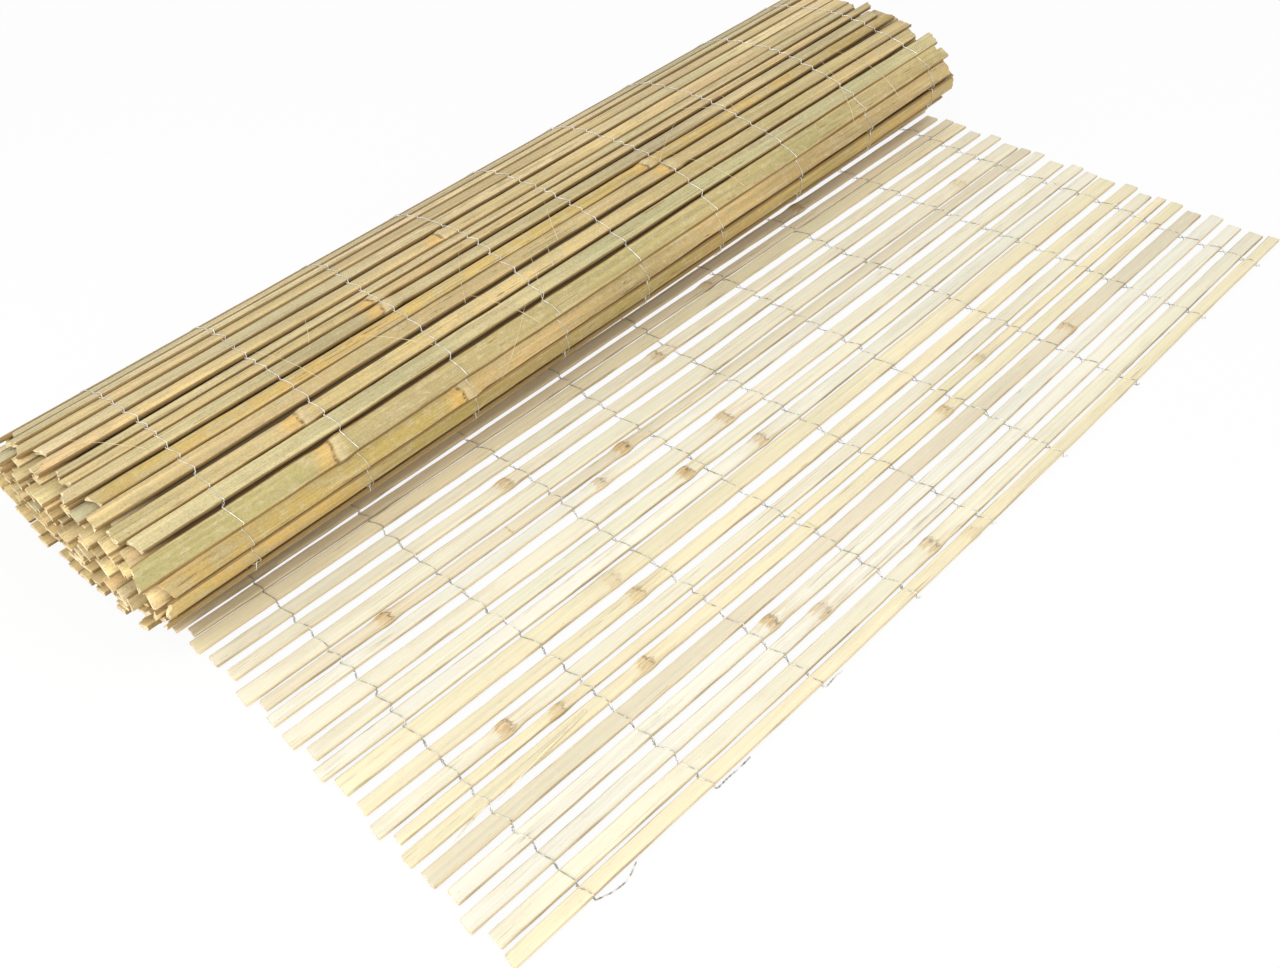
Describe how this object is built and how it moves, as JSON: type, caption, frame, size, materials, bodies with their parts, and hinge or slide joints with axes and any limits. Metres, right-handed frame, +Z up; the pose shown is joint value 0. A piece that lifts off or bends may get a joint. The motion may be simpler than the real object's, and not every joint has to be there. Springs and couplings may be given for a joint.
{
  "type": "bamboo screening mat",
  "caption": "Split bamboo screening mat, partly rolled out: thin slats side by side, tied in rows by twisted wire, with the front lying flat and the rest wound into a flattened roll.",
  "frame": {"origin": "on the floor, under the middle of the whole part's box", "axes": "+X along the slats, +Y from the flat front edge towards the roll, +Z up"},
  "size_m": [1.0242, 0.6436, 0.1114],
  "materials": {
    "bamboo_pith": "bare split bamboo, pith side",
    "bamboo_skin": "bare bamboo, smooth outer skin",
    "tie_wire": "galvanised"
  },
  "bodies": {
    "root": {"roll_wire_1": "tie_wire", "roll_wire_2": "tie_wire", "roll_wire_3": "tie_wire", "roll_wire_4": "tie_wire", "roll_wire_5": "tie_wire", "roll_wire_6": "tie_wire", "roll_wire_7": "tie_wire", "roll_wire_8": "tie_wire", "roll_wire_9": "tie_wire", "rolled_turns": "bamboo_skin", "slat_01": "bamboo_pith", "slat_02": "bamboo_pith", "slat_03": "bamboo_pith", "slat_04": "bamboo_pith", "slat_05": "bamboo_pith", "slat_06": "bamboo_pith", "slat_07": "bamboo_pith", "slat_08": "bamboo_pith", "slat_09": "bamboo_pith", "slat_10": "bamboo_pith", "slat_11": "bamboo_pith", "slat_12": "bamboo_pith", "slat_13": "bamboo_pith", "slat_14": "bamboo_pith", "slat_15": "bamboo_pith", "slat_16": "bamboo_pith", "slat_17": "bamboo_pith", "slat_18": "bamboo_pith", "slat_19": "bamboo_pith", "slat_20": "bamboo_pith", "slat_21": "bamboo_pith", "slat_22": "bamboo_pith", "slat_23": "bamboo_pith", "slat_24": "bamboo_pith", "slat_25": "bamboo_pith", "tie_wire_1": "tie_wire", "tie_wire_2": "tie_wire", "tie_wire_3": "tie_wire", "tie_wire_4": "tie_wire", "tie_wire_5": "tie_wire", "tie_wire_6": "tie_wire", "tie_wire_7": "tie_wire", "tie_wire_8": "tie_wire", "tie_wire_9": "tie_wire"}
  },
  "joints": []
}
